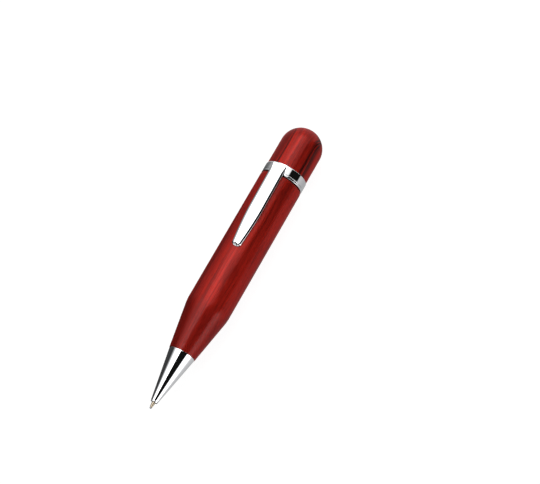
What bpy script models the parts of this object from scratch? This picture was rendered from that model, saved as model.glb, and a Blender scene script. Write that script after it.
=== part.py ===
"""A stubby rosewood twist ballpoint pen with a USB drive under its pull-off cap.

The pen lies along X with its point towards -X, its domed cap towards +X and its clip up (+Z).
The origin is under the middle of the pen, on the surface that it lies on.
Stations along the pen are in millimetres from the tip of the writing ball, with the refill out.
Turning the head (ring, clip, drive and cam sleeve) against the barrel draws the refill in.
"""
import math

import bmesh
import bpy
from mathutils import Matrix, Vector

MM = 0.001

# driving dimensions, in millimetres
LENGTH = 116.0
BODY_R = 8.0
CAP_R = 7.8
RING_R = 8.0
NOSE_SEAM = 21.8
SHOULDER = 39.0
RING_LOW = 93.35
RING_HIGH = 97.3
GAP = 0.1
SEAM_GAP = 0.2

# the wood's outline: how much it falls below the body's radius near the shoulder, and its rear edge
SHOULDER_FALL = ((2.2, 0.0), (1.0, 0.03), (0.0, 0.12), (-1.0, 0.26))
EDGE_LONG = 0.95
EDGE_DEEP = 0.55

# nose cone and refill
NOSE_FRONT = 2.5
NOSE_FRONT_R = 1.32
NOSE_BACK_R = 4.85
NOSE_TAIL_END = 27.5
NOSE_TAIL_R = 2.9
NOSE_OPENING_R = 0.95
NOSE_LAND = 1.4
NOSE_BORE_START = 4.4
REFILL_BORE_R = 1.6
BALL_R = 0.4
BALL_SEAT_R = BALL_R + 0.03
INK_CHANNEL_R = 0.2
POINT_TAIL = 3.5
REFILL_R = 1.175
REFILL_WALL = 0.22
REFILL_FRONT = 10.5
REFILL_END = 67.0
# the point's outline in front of its collar, (station, radius)
POINT_STEPS = ((8.9, 1.125), (6.5, 0.78), (3.6, 0.72), (3.3, 0.6), (1.7, 0.58))

# barrel bores and linings
FRONT_BORE_R = 4.05
REAR_BORE_R = 7.2
BORE_STEP = 50.1
WOOD_FRONT_R = 4.95
WOOD_END = 93.05
FRONT_LINER_R = FRONT_BORE_R - GAP
FRONT_LINER_WALL = 0.35
REAR_LINER_R = REAR_BORE_R - GAP
REAR_LINER_WALL = 0.25
REAR_LINER_IN = REAR_LINER_R - REAR_LINER_WALL
LINER_STEP_GAP = 0.3
BUSH_END = 28.0

# twist mechanism
TRAVEL = 6.0
TWIST = math.pi
PIN_STATION = 64.2
PIN_R = 0.7
SLOT_HALF = PIN_R + 0.2
CAM_R = 5.2
CAM_IN = 4.3
CAM_LOW = 57.0
CAM_HIGH = 75.8
GUIDE_R = REAR_LINER_IN - GAP
GUIDE_IN = CAM_R + 0.25
GUIDE_LOW = 55.0
GUIDE_HIGH = 74.3
GUIDE_FLOOR = 1.5
CARRIAGE_R = CAM_IN - 0.2
CARRIAGE_LOW = 60.0
CARRIAGE_HIGH = 68.5
CARRIAGE_CHAMFER = 0.4
PIN_INNER = 1.7
CAM_FLANGE = 1.1
CAM_STEPS = 28

# head: drive holder, bearing and ring
STEM_R = 6.2
STEM_LOW = 76.0
GROOVE_R = 5.98
GROOVE_LOW = 83.95
GROOVE_HIGH = 85.05
COLLAR_R = 6.95
COLLAR_LOW = 93.4
COLLAR_HIGH = 94.8
CORE_HIGH = 97.1
RING_IN = 7.1
# the fine groove above the ring's lower lip, as heights over the lip's edge
LIP_HIGH = 0.7
GROOVE_SLOPE = 0.1
LIP_GROOVE = 0.1
WINDOW_HALF = 2.8
WINDOW_TOP_BAND = 1.1
SPLIT_HALF = 1.6

# cap
CAP_LOW = RING_HIGH + 0.15
CAP_LINER_R = 6.95
CAP_LINER_IN = 6.45
CAP_LINER_LOW = 95.0
CAP_LINER_HIGH = 109.4
CAP_CHAMBER_R = 6.35
CAP_CHAMBER_END = 111.6
CAP_CHAMBER_TIP = 113.2

# USB plug: the standard 12.0 by 4.5 shell, 12 out of the head
PLUG_WIDTH = 12.0
PLUG_HEIGHT = 4.5
PLUG_WALL = 0.3
PLUG_CORNER = 0.6
PLUG_OUT = 12.0
PLUG_LOW = 93.9
PLUG_END = RING_HIGH + PLUG_OUT
PLUG_CLEARANCE = 0.15
WINDOW_Y = 2.75
WINDOW_SIZE = (2.2, 2.5)
WINDOW_SETBACK = 7.2

# the drive inside the plug and the stem
TONGUE_HALF = 5.55
TONGUE_Z = (-1.85, -0.1)
TONGUE_SETBACK = 0.6
CONTACT_LOW = 90.4
CONTACT_HALF = 0.5
CONTACT_Z = (0.0, 0.2)
CONTACTS = ((-3.5, 1.3), (-1.0, 2.3), (1.0, 2.3), (3.5, 1.3))
BOARD_LOW = STEM_LOW + 1.6
BOARD_HALF = 5.0
BOARD_Z = (-0.9, -0.1)
BOARD_POCKET_HALF = (5.15, 2.0)
CHIP_BEVEL = 0.08
CAPACITOR_Y = 3.6

# clip: its hinge, its sheet, and the ends of its outer line as (station, height over the axis)
CLIP_PIVOT = (95.5, 7.9)
CLIP_HALF = 2.65
CLIP_TIP_HALF = 0.95
CLIP_SHEET = 0.45
CLIP_SIDE_DROP = 1.0
# the sides start this far from the sheet's two ends and reach their full depth over the run
CLIP_SIDE_SETBACK = (0.85, 0.6)
CLIP_SIDE_RUN = 2.0
CLIP_SIDE_LEAST = 0.12
CLIP_ROOT_BEND = ((95.95, 7.75), (95.95, 9.55), (95.85, 10.1), (95.5, 10.5), (94.95, 10.67))
CLIP_STRAIGHT = ((94.2, 10.661), (65.5, 9.22))
CLIP_STRAIGHT_STEPS = 9
CLIP_FOOT = ((63.95, 9.1), (62.95, 8.87), (62.5, 8.67), (62.35, 8.37))
# the sides draw in along the lower part of the clip, and again down the foot
TAPER_START = 78.0
TAPER_LONG = 14.0
TAPER_DEEP = 1.0
FOOT_DRAW_IN = 0.55
# the section of the sheet: (share of the half width, share of the side's drop)
CLIP_SECTION = ((-1.0, 1.0), (-1.0, 0.3), (-0.55, 0.0), (0.55, 0.0), (1.0, 0.3), (1.0, 1.0))

SIDES = 48
INNER_SIDES = 32
SMALL_SIDES = 16
AXIS_Z = BODY_R * math.cos(math.pi / SIDES)

MERGE = 1e-6


def clear_scene():
    for obj in list(bpy.data.objects):
        bpy.data.objects.remove(obj, do_unlink=True)


def new_collection(name):
    collection = bpy.data.collections.new(name)
    bpy.context.scene.collection.children.link(collection)
    return collection


def look(name, colour, roughness, metallic):
    """A Principled material of one colour, made once for each name."""
    found = bpy.data.materials.get(name)
    if found:
        return found
    made = bpy.data.materials.new(name)
    made.use_nodes = True
    shader = made.node_tree.nodes["Principled BSDF"]
    shader.inputs["Base Color"].default_value = (*colour, 1.0)
    shader.inputs["Roughness"].default_value = roughness
    shader.inputs["Metallic"].default_value = metallic
    made.diffuse_color = (*colour, 1.0)
    return made


def rosewood():
    return look("rosewood", (0.36, 0.035, 0.025), 0.2, 0.0)


def chrome():
    return look("chrome", (0.85, 0.86, 0.88), 0.06, 1.0)


def brass():
    return look("brass", (0.78, 0.60, 0.28), 0.3, 1.0)


def nickel():
    return look("nickel", (0.70, 0.69, 0.66), 0.25, 1.0)


def gold():
    return look("gold_plate", (0.90, 0.68, 0.25), 0.2, 1.0)


def black_plastic():
    return look("black_plastic", (0.02, 0.02, 0.022), 0.5, 0.0)


def white_plastic():
    return look("white_plastic", (0.75, 0.75, 0.72), 0.45, 0.0)


def board_green():
    return look("board", (0.02, 0.16, 0.06), 0.35, 0.0)


def chip_black():
    return look("chip", (0.03, 0.03, 0.035), 0.6, 0.0)


def pivot(name, station=0.0, height=0.0, parent=None):
    """An empty on a joint's axis, which is also the parent of the pieces that move on it."""
    empty = bpy.data.objects.new(name, None)
    empty.empty_display_size = 4 * MM
    parts.objects.link(empty)
    if parent is None:
        empty.location = ((station - LENGTH / 2) * MM, 0.0, AXIS_Z * MM + height * MM)
    else:
        empty.parent = parent
        empty.location = (station * MM, 0.0, height * MM)
    return empty


def add(name, mesh, material, parent, collection=None):
    obj = bpy.data.objects.new(name, mesh)
    mesh.materials.append(material)
    (collection or parts).objects.link(obj)
    obj.parent = parent
    return obj


def as_cutter(obj):
    obj.hide_render = True
    obj.display_type = "WIRE"
    return obj


def turned(name, profile, material, parent, sides=INNER_SIDES, collection=None):
    """A turned piece. The profile, (station, radius) in mm, runs down the outside from the cap end
    to the point end and back up the bore. It closes on itself, or on the axis at both ends."""
    half_side = math.pi / sides
    direction = Vector((math.cos(half_side), math.sin(half_side), 0.0))
    points = [direction * radius * MM + Vector((0, 0, station * MM)) for station, radius in profile]
    count = len(points)
    on_axis = profile[0][1] == 0 and profile[-1][1] == 0
    edges = [(i, (i + 1) % count) for i in range(count - 1 if on_axis else count)]
    mesh = bpy.data.meshes.new(name)
    mesh.from_pydata(points, edges, [])
    obj = add(name, mesh, material, parent, collection)
    obj.rotation_euler = (0.0, math.pi / 2, 0.0)
    screw = obj.modifiers.new("turn", "SCREW")
    screw.axis = "Z"
    screw.angle = 2 * math.pi
    screw.steps = sides
    screw.render_steps = sides
    screw.use_merge_vertices = True
    screw.merge_threshold = MERGE
    screw.use_smooth_shade = True
    return obj


def tube(name, low, high, outer, inner, material, parent, sides=INNER_SIDES):
    profile = [(high, outer), (low, outer), (low, inner), (high, inner)]
    return turned(name, profile, material, parent, sides)


def block(name, low, high, material, parent, bevel=0.0, collection=None):
    """A box between two corners (station, y, z) in mm, its edges rounded by bevel."""
    bm = bmesh.new()
    bmesh.ops.create_cube(bm, size=1.0)
    size = [(b - a) * MM for a, b in zip(low, high)]
    centre = [(a + b) / 2 * MM for a, b in zip(low, high)]
    bmesh.ops.scale(bm, vec=size, verts=bm.verts)
    mesh = bpy.data.meshes.new(name)
    bm.to_mesh(mesh)
    bm.free()
    obj = add(name, mesh, material, parent, collection)
    obj.location = centre
    if bevel:
        rounding = obj.modifiers.new("rounding", "BEVEL")
        rounding.width = bevel * MM
        rounding.segments = 2
    return obj


def radial_pin(name, station, radius, inner, outer, material, parent, collection=None):
    """A round pin that stands out of the axis, straight down from the pen's centre line."""
    bm = bmesh.new()
    bmesh.ops.create_cone(
        bm,
        cap_ends=True,
        segments=SMALL_SIDES,
        radius1=radius * MM,
        radius2=radius * MM,
        depth=(outer - inner) * MM,
    )
    mesh = bpy.data.meshes.new(name)
    bm.to_mesh(mesh)
    bm.free()
    obj = add(name, mesh, material, parent, collection)
    obj.location = (station * MM, 0.0, -(inner + outer) / 2 * MM)
    return obj


def cut(obj, cutter):
    """Takes the cutter's shape out of the object."""
    step = obj.modifiers.new("cut_" + cutter.name, "BOOLEAN")
    step.operation = "DIFFERENCE"
    step.solver = "EXACT"
    step.object = as_cutter(cutter)


def block_cut(obj, name, low, high):
    cut(obj, block(name, low, high, black_plastic(), obj.parent, collection=cutters))


# ---------------------------------------------------------------- barrel


def wood_barrel():
    """The turned body: a cylinder with a soft shoulder and a straight cone down to the nose."""
    edge_r = BODY_R - EDGE_DEEP
    outside = [(WOOD_END, edge_r)]
    for degrees in (20, 55, 90):
        angle = math.radians(degrees)
        station = WOOD_END - EDGE_LONG * (1 - math.cos(angle))
        outside.append((station, edge_r + EDGE_DEEP * math.sin(angle)))
    outside += [(SHOULDER + offset, BODY_R - fall) for offset, fall in SHOULDER_FALL]
    outside.append((NOSE_SEAM, WOOD_FRONT_R))
    bore = [
        (NOSE_SEAM, FRONT_BORE_R),
        (BORE_STEP, FRONT_BORE_R),
        (BORE_STEP, REAR_BORE_R),
        (WOOD_END, REAR_BORE_R),
    ]
    turned("wood_barrel", outside + bore, rosewood(), barrel_axis, SIDES)


def barrel_linings():
    tube(
        "front_liner",
        NOSE_SEAM + SEAM_GAP,
        BORE_STEP - LINER_STEP_GAP,
        FRONT_LINER_R,
        FRONT_LINER_R - FRONT_LINER_WALL,
        brass(),
        barrel_axis,
    )
    tube(
        "rear_liner",
        BORE_STEP + LINER_STEP_GAP,
        WOOD_END - 1.5 * LINER_STEP_GAP,
        REAR_LINER_R,
        REAR_LINER_IN,
        brass(),
        barrel_axis,
    )


def front_bush():
    """The insert that the nose cone screws into."""
    outer = FRONT_LINER_R - FRONT_LINER_WALL - GAP
    low = NOSE_SEAM + 0.75 * SEAM_GAP
    tube("front_bush", low, BUSH_END, outer, NOSE_TAIL_R + GAP, brass(), barrel_axis)


def nose_cone():
    shoulder = NOSE_SEAM - SEAM_GAP
    profile = [
        (NOSE_TAIL_END, NOSE_TAIL_R),
        (shoulder, NOSE_TAIL_R),
        (shoulder, NOSE_BACK_R),
        (NOSE_FRONT + 0.2, NOSE_FRONT_R),
        (NOSE_FRONT, NOSE_FRONT_R - 0.1),
        (NOSE_FRONT, NOSE_OPENING_R),
        (NOSE_FRONT + NOSE_LAND, NOSE_OPENING_R),
        (NOSE_FRONT + NOSE_BORE_START, REFILL_BORE_R),
        (NOSE_TAIL_END, REFILL_BORE_R),
    ]
    turned("nose_cone", profile, chrome(), barrel_axis, SIDES)


def guide_housing():
    """A cup fixed in the barrel. The follower pin runs in its straight slot."""
    floor = GUIDE_LOW + GUIDE_FLOOR
    hole = REFILL_R + 3 * GAP
    profile = [
        (GUIDE_HIGH, GUIDE_R),
        (GUIDE_LOW, GUIDE_R),
        (GUIDE_LOW, hole),
        (floor, hole),
        (floor, GUIDE_IN),
        (GUIDE_HIGH, GUIDE_IN),
    ]
    guide = turned("guide_housing", profile, white_plastic(), barrel_axis)
    low = (PIN_STATION - SLOT_HALF, -SLOT_HALF, -GUIDE_R - 1)
    high = (PIN_STATION + TRAVEL + SLOT_HALF, SLOT_HALF, -GUIDE_IN + 1)
    block_cut(guide, "straight_slot", low, high)


def rear_bearing():
    """The bush that the head's stem turns in."""
    tube(
        "rear_bearing",
        GROOVE_HIGH + GAP,
        WOOD_END - 1.5 * GAP,
        REAR_LINER_IN - GAP,
        STEM_R + 0.12,
        nickel(),
        barrel_axis,
    )


# ---------------------------------------------------------------- refill


def refill():
    tube(
        "refill_tube",
        REFILL_FRONT,
        REFILL_END,
        REFILL_R,
        REFILL_R - REFILL_WALL,
        brass(),
        refill_axis,
        SMALL_SIDES,
    )
    inside = REFILL_R - REFILL_WALL - 0.06
    tail = REFILL_FRONT + POINT_TAIL
    collar = REFILL_FRONT - GAP
    rim = BALL_R + 0.1
    seat = 2 * BALL_R + 0.05
    profile = [(tail, inside), (collar, inside), (collar, REFILL_R), *POINT_STEPS]
    profile += [
        (rim, BALL_SEAT_R + 0.05),
        (rim, BALL_SEAT_R),
        (seat, BALL_SEAT_R),
        (seat + INK_CHANNEL_R, INK_CHANNEL_R),
        (tail, INK_CHANNEL_R),
    ]
    turned("refill_point", profile, nickel(), refill_axis, SMALL_SIDES)


def refill_carriage():
    """Holds the refill's end and carries the follower pin."""
    socket = REFILL_R + 0.12
    floor = REFILL_END + 0.2
    profile = [
        (CARRIAGE_HIGH, 0.0),
        (CARRIAGE_HIGH, CARRIAGE_R - CARRIAGE_CHAMFER),
        (CARRIAGE_HIGH - CARRIAGE_CHAMFER, CARRIAGE_R),
        (CARRIAGE_LOW + CARRIAGE_CHAMFER, CARRIAGE_R),
        (CARRIAGE_LOW, CARRIAGE_R - CARRIAGE_CHAMFER),
        (CARRIAGE_LOW, socket),
        (floor, socket),
        (floor, 0.0),
    ]
    carriage = turned("refill_carriage", profile, black_plastic(), refill_axis)
    hole = radial_pin(
        "pin_hole",
        PIN_STATION,
        PIN_R + GAP,
        PIN_INNER - 0.7,
        CARRIAGE_R + 1,
        black_plastic(),
        refill_axis,
        cutters,
    )
    cut(carriage, hole)
    outer = GUIDE_R - 3 * GAP
    radial_pin("follower_pin", PIN_STATION, PIN_R, PIN_INNER, outer, nickel(), refill_axis)


def writing_ball():
    bm = bmesh.new()
    bmesh.ops.create_uvsphere(bm, u_segments=12, v_segments=8, radius=BALL_R * MM)
    mesh = bpy.data.meshes.new("writing_ball")
    bm.to_mesh(mesh)
    bm.free()
    mesh.shade_smooth()
    ball = add("writing_ball", mesh, nickel(), ball_centre)
    ball.rotation_euler = (0.0, math.pi / 2, 0.0)


# ---------------------------------------------------------------- head


def cam_sleeve():
    """The tube whose helical slot drives the follower pin along as the head turns."""
    flange = CAM_HIGH - CAM_FLANGE
    profile = [
        (CAM_HIGH, STEM_R),
        (flange, STEM_R),
        (flange, CAM_R),
        (CAM_LOW, CAM_R),
        (CAM_LOW, CAM_IN),
        (CAM_HIGH, CAM_IN),
    ]
    sleeve = turned("cam_sleeve", profile, black_plastic(), head_axis)
    cut(sleeve, helical_cutter())


def helical_cutter():
    """The path of the follower pin in the turning sleeve, as a swept rectangle."""
    inner = CAM_IN - 0.4
    outer = CAM_R + 0.4
    end_angle = SLOT_HALF / ((CAM_IN + CAM_R) / 2)
    rise = TRAVEL / TWIST
    angle = TWIST + 2 * end_angle
    bm = bmesh.new()
    corners = [
        (inner, -SLOT_HALF),
        (outer, -SLOT_HALF),
        (outer, SLOT_HALF),
        (inner, SLOT_HALF),
    ]
    start = Matrix.Rotation(end_angle, 4, "Z")
    low = PIN_STATION - rise * end_angle
    verts = [bm.verts.new(start @ Vector((r * MM, 0, (low + dz) * MM))) for r, dz in corners]
    face = bm.faces.new(verts)
    bmesh.ops.spin(
        bm,
        geom=[face, *face.edges, *face.verts],
        cent=(0, 0, 0),
        axis=(0, 0, 1),
        dvec=(0, 0, rise * angle / CAM_STEPS * MM),
        angle=-angle,
        steps=CAM_STEPS,
    )
    bmesh.ops.recalc_face_normals(bm, faces=bm.faces)
    mesh = bpy.data.meshes.new("helical_slot")
    bm.to_mesh(mesh)
    bm.free()
    obj = add("helical_slot", mesh, black_plastic(), head_axis, cutters)
    obj.rotation_euler = (0.0, math.pi / 2, 0.0)
    return obj


def drive_holder():
    """The stem that turns in the barrel, the collar under the ring and the pocket for the drive."""
    profile = [
        (CORE_HIGH, 0.0),
        (CORE_HIGH, STEM_R),
        (COLLAR_HIGH, STEM_R),
        (COLLAR_HIGH, COLLAR_R),
        (COLLAR_LOW, COLLAR_R),
        (COLLAR_LOW, STEM_R),
        (GROOVE_HIGH, STEM_R),
        (GROOVE_HIGH, GROOVE_R),
        (GROOVE_LOW, GROOVE_R),
        (GROOVE_LOW, STEM_R),
        (STEM_LOW, STEM_R),
        (STEM_LOW, 0.0),
    ]
    holder = turned("drive_holder", profile, black_plastic(), head_axis)
    half_width = PLUG_WIDTH / 2 + PLUG_CLEARANCE
    half_height = PLUG_HEIGHT / 2 + PLUG_CLEARANCE
    floor = PLUG_LOW - 0.2
    block_cut(
        holder,
        "plug_pocket",
        (floor, -half_width, -half_height),
        (CORE_HIGH + 1, half_width, half_height),
    )
    side, depth = BOARD_POCKET_HALF
    low = (BOARD_LOW - 3 * GAP, -side, -depth)
    block_cut(holder, "board_pocket", low, (floor + 1, side, depth))


def retaining_ring():
    """The split ring in the stem's groove that keeps the head in the barrel."""
    ring = tube(
        "retaining_ring",
        GROOVE_LOW + 1.5 * GAP,
        GROOVE_HIGH - 1.5 * GAP,
        REAR_LINER_IN - 2.5 * GAP,
        GROOVE_R + 0.06,
        nickel(),
        head_axis,
    )
    low = (GROOVE_LOW - 1, -SPLIT_HALF, GROOVE_R / 2)
    block_cut(ring, "ring_split", low, (GROOVE_HIGH + 1, SPLIT_HALF, BODY_R))


def clip_ring():
    """The polished band between the barrel and the cap, with a window for the clip's root."""
    top = RING_HIGH
    low = RING_LOW
    lip = low + LIP_HIGH
    profile = [
        (top, RING_R - 0.25),
        (top - 0.12, RING_R - 0.06),
        (top - 0.4, RING_R),
        (lip + 4 * GROOVE_SLOPE, RING_R),
        (lip + 3 * GROOVE_SLOPE, RING_R - LIP_GROOVE),
        (lip + GROOVE_SLOPE, RING_R - LIP_GROOVE),
        (lip, RING_R),
        (low + 0.2, RING_R),
        (low, RING_R - 0.15),
        (low, RING_IN),
        (top, RING_IN),
    ]
    ring = turned("clip_ring", profile, chrome(), head_axis, SIDES)
    window_low = (low - 1, -WINDOW_HALF, RING_IN - 2)
    window_high = (top - WINDOW_TOP_BAND, WINDOW_HALF, RING_R + 2)
    block_cut(ring, "clip_window", window_low, window_high)


# ---------------------------------------------------------------- clip


def clip_path():
    """The clip sheet's outer line in side view, (station, height over the axis), root to tip."""
    root, tip = (Vector(end) for end in CLIP_STRAIGHT)
    steps = CLIP_STRAIGHT_STEPS
    straight = [tuple(root.lerp(tip, i / steps)) for i in range(steps + 1)]
    return [*CLIP_ROOT_BEND, *straight, *CLIP_FOOT]


def clip_half_width(station, height):
    if station < CLIP_STRAIGHT[1][0] - 0.01:
        top = CLIP_FOOT[0][1]
        bottom = CLIP_FOOT[-1][1]
        return CLIP_TIP_HALF + FOOT_DRAW_IN * (height - bottom) / (top - bottom)
    taper = max(0.0, (TAPER_START - station) / TAPER_LONG)
    return CLIP_HALF - TAPER_DEEP * taper * taper


def clip_arm():
    """A channel of sheet metal: a flat face, turned-down sides and a turned-down tip."""
    path = clip_path()
    rows = len(path) - 1
    columns = len(CLIP_SECTION) - 1
    side_start = CLIP_ROOT_BEND[0][0] - CLIP_SIDE_SETBACK[0]
    side_end = CLIP_FOOT[1][0] + CLIP_SIDE_SETBACK[1]
    bm = bmesh.new()
    bmesh.ops.create_grid(bm, x_segments=rows, y_segments=columns, size=1.0)
    for vert in bm.verts:
        row = round((vert.co.x + 1) / 2 * rows)
        station, height = path[row]
        ahead = Vector(path[min(row + 1, rows)]) - Vector(path[max(row - 1, 0)])
        ahead.normalize()
        side, drop = CLIP_SECTION[round((vert.co.y + 1) / 2 * columns)]
        nearest_end = min(side_start - station, station - side_end)
        share = min(1.0, max(CLIP_SIDE_LEAST, nearest_end / CLIP_SIDE_RUN))
        turned_in = drop * CLIP_SIDE_DROP * share
        y = side * clip_half_width(station, height)
        x = station - ahead.y * turned_in
        z = height + ahead.x * turned_in
        vert.co = Vector(((x - CLIP_PIVOT[0]) * MM, y * MM, (z - CLIP_PIVOT[1]) * MM))
    # rows run towards the tip, so the grid comes out face down
    bmesh.ops.reverse_faces(bm, faces=bm.faces)
    mesh = bpy.data.meshes.new("clip_arm")
    bm.to_mesh(mesh)
    bm.free()
    arm = add("clip_arm", mesh, chrome(), clip_pivot)
    sheet = arm.modifiers.new("sheet", "SOLIDIFY")
    sheet.thickness = CLIP_SHEET * MM
    sheet.offset = -1.0
    sheet.use_even_offset = True


# ---------------------------------------------------------------- USB drive


def rounded_rectangle(half_height, half_width, corner, steps=3):
    """The points of a closed outline, (x, y) in mm, its corners as arcs."""
    points = []
    for quarter, (sx, sy) in enumerate(((1, 1), (-1, 1), (-1, -1), (1, -1))):
        for i in range(steps + 1):
            angle = (quarter + i / steps) * math.pi / 2
            x = sx * (half_height - corner) + corner * math.cos(angle)
            y = sy * (half_width - corner) + corner * math.sin(angle)
            points.append((x, y))
    return points


def usb_shell():
    """The plug's folded steel shell, with its two windows on each broad side."""
    outline = rounded_rectangle(PLUG_HEIGHT / 2, PLUG_WIDTH / 2, PLUG_CORNER)
    bm = bmesh.new()
    verts = [bm.verts.new((x * MM, y * MM, PLUG_LOW * MM)) for x, y in outline]
    edges = [bm.edges.new((a, b)) for a, b in zip(verts, verts[1:] + verts[:1])]
    grown = bmesh.ops.extrude_edge_only(bm, edges=edges)["geom"]
    moved = [item for item in grown if isinstance(item, bmesh.types.BMVert)]
    bmesh.ops.translate(bm, vec=(0, 0, (PLUG_END - PLUG_LOW) * MM), verts=moved)
    bmesh.ops.reverse_faces(bm, faces=bm.faces)
    mesh = bpy.data.meshes.new("usb_shell")
    bm.to_mesh(mesh)
    bm.free()
    shell = add("usb_shell", mesh, nickel(), head_axis)
    shell.rotation_euler = (0.0, math.pi / 2, 0.0)
    sheet = shell.modifiers.new("sheet", "SOLIDIFY")
    sheet.thickness = PLUG_WALL * MM
    sheet.offset = -1.0
    long, wide = WINDOW_SIZE
    bottom = PLUG_END - WINDOW_SETBACK
    for number, y in enumerate((-WINDOW_Y, WINDOW_Y)):
        low = (bottom, y - wide / 2, -PLUG_HEIGHT)
        high = (bottom + long, y + wide / 2, PLUG_HEIGHT)
        block_cut(shell, f"plug_window_{number + 1}", low, high)


def usb_tongue():
    low = (PLUG_LOW + 0.5, -TONGUE_HALF, TONGUE_Z[0])
    high = (PLUG_END - TONGUE_SETBACK, TONGUE_HALF, TONGUE_Z[1])
    block("usb_tongue", low, high, black_plastic(), head_axis, 0.25)


def usb_contacts():
    """Four strips on the tongue; the outer two, for power, reach further forward."""
    for number, (y, setback) in enumerate(CONTACTS):
        low = (CONTACT_LOW, y - CONTACT_HALF, CONTACT_Z[0])
        high = (PLUG_END - setback, y + CONTACT_HALF, CONTACT_Z[1])
        block(f"usb_contact_{number + 1}", low, high, gold(), head_axis)


def block_on_board(name, offset, long, wide, heights, material, bevel, y=0.0):
    """A component whose lower end is offset mm along the board from the board's own lower end."""
    station = BOARD_LOW + offset
    low = (station, y - wide / 2, heights[0])
    block(name, low, (station + long, y + wide / 2, heights[1]), material, head_axis, bevel)


def circuit_board():
    bottom, top = BOARD_Z
    high = (PLUG_LOW + 0.2, BOARD_HALF, top)
    block("circuit_board", (BOARD_LOW, -BOARD_HALF, bottom), high, board_green(), head_axis)
    over = top + GAP
    under = bottom - GAP
    block_on_board("memory_chip", 0.8, 11.0, 8.4, (over, over + 1.0), chip_black(), CHIP_BEVEL)
    block_on_board("controller_chip", 2.4, 6.4, 6.4, (under - 0.8, under), chip_black(), CHIP_BEVEL)
    block_on_board("crystal", 11.0, 2.5, 3.2, (under - 0.8, under), nickel(), 2 * CHIP_BEVEL)
    for number, y in enumerate((-CAPACITOR_Y, CAPACITOR_Y)):
        name = f"capacitor_{number + 1}"
        block_on_board(name, 11.3, 1.6, 0.8, (under - 0.7, under), white_plastic(), 0.0, y)


# ---------------------------------------------------------------- cap


def cap_shell():
    """The domed wooden cap: a straight skirt and a hemisphere of the same radius."""
    centre = LENGTH - CAP_R
    rings = 9
    outside = []
    for i in range(rings + 1):
        angle = math.pi / 2 * (1 - i / rings)
        outside.append((centre + CAP_R * math.sin(angle), CAP_R * math.cos(angle)))
    outside[0] = (LENGTH, 0.0)
    outside += [(CAP_LOW + 0.25, CAP_R), (CAP_LOW, CAP_R - 0.2)]
    seat = CAP_LINER_HIGH + 2 * GAP
    bore = [
        (CAP_LOW, CAP_LINER_R + GAP),
        (seat, CAP_LINER_R + GAP),
        (seat, CAP_CHAMBER_R),
        (CAP_CHAMBER_END, CAP_CHAMBER_R),
        (CAP_CHAMBER_TIP, 0.0),
    ]
    turned("cap_shell", outside + bore, rosewood(), cap_axis, SIDES)


def cap_liner():
    """The tube in the cap; its end is the tenon that the head's ring holds."""
    tube(
        "cap_liner",
        CAP_LINER_LOW,
        CAP_LINER_HIGH,
        CAP_LINER_R,
        CAP_LINER_IN,
        black_plastic(),
        cap_axis,
    )


clear_scene()
parts = new_collection("rosewood_drive_pen")
cutters = new_collection("cutters")
barrel_axis = pivot("barrel_axis")
head_axis = pivot("head_axis")
refill_axis = pivot("refill_axis")
cap_axis = pivot("cap_axis")
ball_centre = pivot("ball_centre", BALL_R)
clip_pivot = pivot("clip_pivot", *CLIP_PIVOT)

wood_barrel()
barrel_linings()
front_bush()
nose_cone()
guide_housing()
rear_bearing()
refill()
refill_carriage()
writing_ball()
cam_sleeve()
drive_holder()
retaining_ring()
clip_ring()
clip_arm()
usb_shell()
usb_tongue()
usb_contacts()
circuit_board()
cap_shell()
cap_liner()
bpy.context.view_layer.update()
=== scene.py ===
"""The looks of a stubby rosewood twist ballpoint pen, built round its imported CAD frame.

Stations are millimetres along the pen from the tip of its writing ball, and radii and heights are
millimetres from the pen's axis, as in the CAD model. The pen lies along X with its clip up.
"""
import math

import bmesh
import bpy
from mathutils import Matrix, Vector


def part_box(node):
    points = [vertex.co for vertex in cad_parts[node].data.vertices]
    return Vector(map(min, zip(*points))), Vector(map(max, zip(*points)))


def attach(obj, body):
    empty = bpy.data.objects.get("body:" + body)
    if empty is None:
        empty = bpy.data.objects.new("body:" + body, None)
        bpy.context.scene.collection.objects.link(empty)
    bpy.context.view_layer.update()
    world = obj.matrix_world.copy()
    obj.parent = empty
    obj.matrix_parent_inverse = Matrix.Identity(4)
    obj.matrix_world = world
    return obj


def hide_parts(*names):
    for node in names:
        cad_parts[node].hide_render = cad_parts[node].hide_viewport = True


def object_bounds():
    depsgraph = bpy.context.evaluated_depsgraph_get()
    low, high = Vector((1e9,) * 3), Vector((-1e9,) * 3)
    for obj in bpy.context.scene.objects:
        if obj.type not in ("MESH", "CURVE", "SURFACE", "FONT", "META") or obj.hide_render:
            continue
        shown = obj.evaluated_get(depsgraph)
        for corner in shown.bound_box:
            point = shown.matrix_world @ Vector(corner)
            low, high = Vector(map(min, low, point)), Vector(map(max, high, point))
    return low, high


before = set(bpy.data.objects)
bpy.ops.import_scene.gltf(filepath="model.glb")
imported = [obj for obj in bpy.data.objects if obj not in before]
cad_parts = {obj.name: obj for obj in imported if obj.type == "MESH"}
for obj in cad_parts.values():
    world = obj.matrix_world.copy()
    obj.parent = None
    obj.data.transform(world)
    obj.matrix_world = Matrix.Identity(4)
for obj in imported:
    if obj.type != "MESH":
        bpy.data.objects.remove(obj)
CAD_LOW, CAD_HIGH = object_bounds()

MM = 0.001
TIP_X = CAD_LOW.x
CAP_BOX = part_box("cap_shell")
AXIS_Z = (CAP_BOX[0].z + CAP_BOX[1].z) / 2


def span(node):
    """A turned node's low station, high station and radius, in mm."""
    low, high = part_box(node)
    return (low.x - TIP_X) / MM, (high.x - TIP_X) / MM, (high.y - low.y) / 2 / MM


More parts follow.
